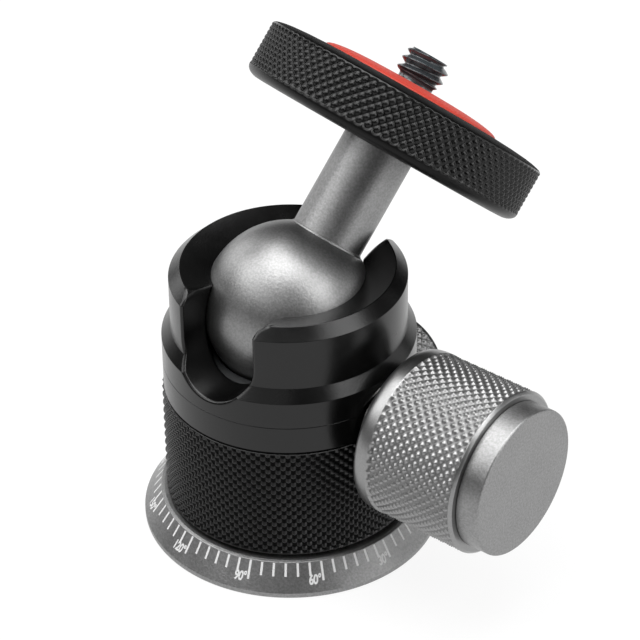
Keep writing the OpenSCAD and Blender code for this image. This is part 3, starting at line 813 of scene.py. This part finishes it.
# the pad's top is a flat dome: full height within the middle, falling away to the plate at its edge
pad_radii = PAD_R * np.sin(np.linspace(math.pi / 2, 0.268, 36))
pad_dome = [(r, PAD_EDGE_Z + PAD_RISE * swell(r / PAD_R)) for r in pad_radii]
pad_foot = [
    (PAD_BORE_R, PAD_LOW),
    (PAD_R - 0.05, PAD_LOW),
    (PAD_R, PAD_LOW + 0.05),
    (PAD_R, PLATE_TOP + 0.01),
]
pad_rows = pad_foot + pad_dome + [(PAD_BORE_R + 0.02, PAD_TOP + 0.06), (PAD_BORE_R, PAD_TOP - 0.01)]
pad = turned("camera_pad", pad_rows, 192, ON_STEM)
finish_piece(pad, "plate", "rubber_pad", "orange_rubber", PAD)

# ------------------------------------------------------------------- threads

SCREW_R = 3.175
SCREW_LOW = 21.4
SCREW_END = 36.8
SCREW_NECK_R = 2.45
SCREW_TIP = 0.7  # bevel at the tip
PITCH = 1.27
THREAD_FOOT = PAD_TOP + 0.6
THREAD_TIP = SCREW_END - 0.02
THREAD_DEPTH = 0.72
LINING = (0.95, 8.3)  # lower and upper end of the thread in the tripod bore
LINING_DEPTH = 0.6
SLEEVE_OUT = SCREW_R - 0.004
SLEEVE_IN = SCREW_R - 0.014


def ridge(T, H):
    """Right-handed thread by angle and height: 0 at the narrow flat root, 1 at the narrow flat crest, with
    even flanks between them."""
    return np.clip(1.3 * triangle(H / PITCH - T / TAU) - 0.15, 0, 1)


def fade(H, low, high, rise, fall):
    """0 outside low and high, 1 between them, with even slopes of lengths rise and fall at the two ends."""
    return np.clip((H - low) / rise, 0, 1) * np.clip((high - H) / fall, 0, 1)


def screw_thread(T, H, R):
    """Camera screw: the root is cut into the cylinder and fades out at neck and tip."""
    on_thread = (np.abs(R - SCREW_R) < 0.8) & (H > THREAD_FOOT) & (H < THREAD_TIP)
    cut = -THREAD_DEPTH * (1 - ridge(T, H)) * fade(H, THREAD_FOOT, THREAD_TIP, 0.5, 0.3)
    return np.where(on_thread, cut, 0.0)


def bore_thread(T, H, R):
    """Tripod thread: the ridge runs inwards from the bore's wall to a narrow crest."""
    on_inner_wall = R < (SLEEVE_OUT + SLEEVE_IN) / 2
    return np.where(on_inner_wall, -LINING_DEPTH * ridge(T, H) * fade(H, *LINING, 0.5, 0.5), 0.0)


threaded = spread(PAD_TOP + 0.95, THREAD_TIP, 110)
screw_rows = [
    (POLE, SCREW_LOW),
    (SCREW_R, SCREW_LOW),
    (SCREW_R, PAD_TOP - 0.4),
    (SCREW_NECK_R, PAD_TOP - 0.3),
    (SCREW_NECK_R, THREAD_FOOT),
    (SCREW_NECK_R + 0.3, PAD_TOP + 0.78),
    *((min(SCREW_R, SCREW_R - SCREW_TIP + (SCREW_END - z)), z) for z in threaded),
    (SCREW_R - THREAD_DEPTH, SCREW_END),
    (POLE, SCREW_END),
]
screw = turned("camera_screw_thread", screw_rows, 128, ON_STEM, closed=False, relief=screw_thread)
finish_piece(screw, "plate", "camera_screw", "steel", BLACKENED)

# A thin sleeve lines the reducer's bore above its driver slot, with the thread on its inner wall
lining_rows = [(SLEEVE_OUT, z) for z in LINING] + [(SLEEVE_IN, z) for z in spread(*LINING[::-1], 90)]
lining = turned("tripod_thread_lining", lining_rows, 96, relief=bore_thread)
finish_piece(lining, "base", None, "steel", STEEL)

# --------------------------------------------------------------- lock knob

KNOB_R = 11.05
HUB_X = 17.925
HUB_R = 6.0
RIM_X = 18.775
DISH_X = RIM_X + 1.2
DISH_R = 9.1
RIM_FACE = (9.5, 10.35)  # inner and outer radius
FLARE_START = RIM_X + 0.12
FLARE_X = 21.125
FLARE_R = 10.5
SHOULDER_X = 33.975
KNOB_END_X = 34.275
KNOB_BORE_R = 3.0
KNOB_STARTS = 52
KNOB_PER = 10  # steps and rows to each diamond
CAP_BORE_R = 7.02
CAP_SPIGOT_R = 7.0
CAP_SPIGOT_X = 31.275
CAP_SEAT_R = 9.3
CAP_R = 9.85
CAP_GROOVE_R = 9.74
CAP_X = 34.34
CAP_END_X = 37.505
knob_band, knob_cut = knurl(
    KNOB_STARTS, KNOB_R, FLARE_X + 0.1, SHOULDER_X - 0.18, depth=0.32, per=KNOB_PER, run_out=0.08
)
# the flare is a smooth band that swells out to the knurl
flare = [
    (FLARE_R + (KNOB_R - FLARE_R) * swell(1 - t), FLARE_START + (FLARE_X - FLARE_START) * t)
    for t in spread(0.01, 1, 20)
]
knob_back = rounded(
    [
        (KNOB_BORE_R, HUB_X, 0),
        (HUB_R, HUB_X, 0.1),
        (HUB_R, DISH_X, 0.2),
        (DISH_R, DISH_X, 0.3),
        (RIM_FACE[0], RIM_X, 0.15),
        (RIM_FACE[1], RIM_X, 0),
        (RIM_FACE[1] + 0.1, RIM_X + 0.05, 0),
    ],
    closed=False,
)
knob_front = rounded(
    [
        (KNOB_R - 0.06, SHOULDER_X - 0.1, 0),
        (KNOB_R - 0.12, SHOULDER_X, 0),
        (KNOB_R - 0.45, KNOB_END_X, 0.08),
        (CAP_SEAT_R, KNOB_END_X, 0),
    ],
    closed=False,
)
knob_bore = [(CAP_BORE_R, KNOB_END_X), (CAP_BORE_R, CAP_SPIGOT_X), (KNOB_BORE_R, CAP_SPIGOT_X)]
knob = turned(
    "knurled_lock_knob",
    np.vstack([knob_back, flare, knob_band, knob_front, knob_bore]),
    KNOB_STARTS * KNOB_PER,
    LOCK_AXIS,
    relief=knob_cut,
    groove=0.84,
    slot_of=lambda r, h: KNURL if r > KNOB_R - 0.02 and FLARE_X < h < SHOULDER_X - 0.1 else SMOOTH,
)
finish_piece(knob, "lock_handle", "lock_knob", "grey_alloy", TURNED, KNURLED, GREY_GROOVE_SHADE)

cap_profile = rounded(
    [
        (POLE, CAP_SPIGOT_X, 0),
        (CAP_SPIGOT_R, CAP_SPIGOT_X, 0),
        (CAP_SPIGOT_R, KNOB_END_X, 0),
        (CAP_GROOVE_R, KNOB_END_X, 0),
        (CAP_GROOVE_R, CAP_X, 0),
        (CAP_R, CAP_X, 0.1),
        (CAP_R, CAP_END_X, 0.25),
        (POLE, CAP_END_X, 0),
    ],
    closed=False,
)
cap = turned("lock_knob_end_cap", cap_profile, ROUND, LOCK_AXIS, closed=False)
finish_piece(cap, "lock_handle", "lock_knob_cap", "grey_alloy", BLASTED)

# --------------------------------------------------------------- pan knob

PAN_R = 6.5
PAN_Y = 17.625
PAN_RIM_Y = PAN_Y + 0.4
PAN_END_Y = PAN_Y + 7.6
PAN_RECESS_Y = PAN_Y + 7.0
PAN_RECESS_R = 4.2
PAN_HUB_R = 4.0
PAN_BORE_R = 2.5
PAN_STARTS = 31
pan_band, pan_cut = knurl(PAN_STARTS, PAN_R, PAN_Y + 0.9, PAN_Y + 7.1, depth=0.36)
pan_back = rounded(
    [
        (PAN_BORE_R, PAN_Y, 0),
        (PAN_HUB_R, PAN_Y, 0.08),
        (PAN_HUB_R, PAN_RIM_Y, 0),
        (PAN_R - 0.4, PAN_RIM_Y, 0.08),
        (PAN_R, PAN_Y + 0.8, 0),
    ],
    closed=False,
)
pan_front = rounded(
    [
        (PAN_R, PAN_Y + 7.15, 0),
        (PAN_R, PAN_Y + 7.2, 0.03),
        (PAN_R - 0.4, PAN_END_Y, 0.08),
        (PAN_RECESS_R, PAN_END_Y, 0.1),
        (PAN_RECESS_R - 0.3, PAN_RECESS_Y, 0.1),
        (POLE, PAN_RECESS_Y, 0),
    ],
    closed=False,
)
pan = turned(
    "knurled_pan_knob",
    np.vstack([pan_back, pan_band, pan_front]),
    PAN_STARTS * PER_DIAMOND,
    PAN_AXIS,
    closed=False,
    relief=pan_cut,
    groove=0.8,
    slot_of=lambda r, h: KNURL if r > PAN_R - 0.01 else SMOOTH,
)
finish_piece(pan, "pan_handle", "pan_knob", "grey_alloy", TURNED, KNURLED, GREY_GROOVE_SHADE)

# ------------------------------------------------------ carried-over solids

# The hidden pieces keep their solids' shapes and take only a material
STEEL_PIECES = (
    "pan_spindle",
    "thread_reducer",
    "base_screw_1",
    "base_screw_2",
    "base_screw_3",
    "top_washer",
    "retaining_ring",
    "cover_disc",
    "seat_spring_lower",
    "seat_spring_upper",
    "pressure_pin",
    "lock_washer",
    "lock_stud",
    "pan_washer",
    "pan_stud",
)
LOOKS = dict.fromkeys(STEEL_PIECES, STEEL)
LOOKS.update(lock_bush=BRASS, pan_shoe=BRASS, seat_cup=CUP, glide_washer=GLIDE)
for name, look in LOOKS.items():
    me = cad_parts[name].data
    for i in range(len(me.materials)):
        me.materials[i] = look
    if not me.materials:
        me.materials.append(look)

# --------------------------------------------------- floor, lights and camera

FLOOR = 3000  # half its width
FLOOR_GLOW = 0.9
ROOM_LIGHT = 0.06
corners = [(x * FLOOR, y * FLOOR, 0) for x, y in ((-1, -1), (1, -1), (1, 1), (-1, 1))]
floor = mesh_of("studio_floor", corners, [(0, 1, 2, 3)])
# A matte white sheet lit from below: it glows almost white and takes only faint shadows
paper = plain("light_table_floor", "4a4a4a", 0.9, grain=4.0, depth=0.0, tone=0.0)
paper.node_tree.nodes[PRINCIPLED].inputs["Emission Color"].default_value = WHITE
paper.node_tree.nodes[PRINCIPLED].inputs["Emission Strength"].default_value = FLOOR_GLOW
floor.data.materials.append(paper)


def seen_from(azimuth, elevation):
    """Level axis to the right, and axis back towards the eye or light, for a direction in radians: azimuth
    from -Y towards +X, elevation above level."""
    right = np.array([math.cos(azimuth), math.sin(azimuth), 0])
    level = math.cos(elevation)
    back = np.array([math.sin(azimuth) * level, -math.cos(azimuth) * level, math.sin(elevation)])
    return right, back


def world_matrix(x, y, z, at):
    """Matrix of an object from its three axes and its place in metres."""
    turn = np.stack([x, y, z], 1).tolist()
    return Matrix([[*r, c] for r, c in zip(turn, at)] + [[0, 0, 0, 1]])


LIGHT_DISTANCE = 0.9
LIT_POINT = np.array([0, 0, 0.03])  # metres, as the distance
# name, azimuth and elevation in degrees, width and height in metres, radiance
LIGHTS = (
    ("overhead_softbox", 39, 88, 0.9, 0.58, 5.4),
    ("rear_overhead_softbox", 219, 66, 0.9, 0.3, 4.1),
    ("left_softbox", -60, 44, 0.5, 0.46, 3.8),
    ("front_softbox", -20, 42, 0.5, 0.42, 1.7),
    ("front_fill", 20, 42, 0.5, 0.42, 0.5),
    ("right_softbox", 100, 42, 0.5, 0.42, 4.8),
    ("right_low_strip", 100, 8, 0.5, 0.42, 2.7),
    ("rear_low_strip", 140, 8, 0.5, 0.42, 1.0),
    ("left_low_strip", -98, 20, 0.5, 0.42, 2.4),
)
for name, azimuth, elevation, wide, high, radiance in LIGHTS:
    light = bpy.data.lights.new(name, "AREA")
    light.shape = "RECTANGLE"
    light.size, light.size_y = wide, high
    light.energy = radiance * math.pi * wide * high
    x, z = seen_from(math.radians(azimuth), math.radians(elevation))
    placed(name, light).matrix_world = world_matrix(x, np.cross(z, x), z, LIT_POINT + z * LIGHT_DISTANCE)

world = bpy.data.worlds.new("studio")
bpy.context.scene.world = world
world.use_nodes = True
world.node_tree.nodes["Background"].inputs["Color"].default_value = WHITE
world.node_tree.nodes["Background"].inputs["Strength"].default_value = ROOM_LIGHT

SENSOR = 36.0
IMAGE_PX = 640
FOCAL_PX = 2969.29
EYE = np.array([0.20063263, -0.24000287, 0.25235454])
AZ, EL, ROLL = (math.radians(v) for v in (39.16, 35.39, -0.69))
cam = bpy.data.cameras.new("studio_camera")
cam.sensor_width = SENSOR
cam.lens = FOCAL_PX / IMAGE_PX * SENSOR
cam.clip_end = 20
right, back = seen_from(AZ, EL)
up = np.cross(back, right)
across = right * math.cos(ROLL) + up * math.sin(ROLL)
upright = -right * math.sin(ROLL) + up * math.cos(ROLL)
camera = placed("studio_camera", cam)
camera.matrix_world = world_matrix(across, upright, back, EYE)
bpy.context.scene.camera = camera
bpy.context.scene.view_settings.view_transform = "Standard"

bpy.context.view_layer.update()
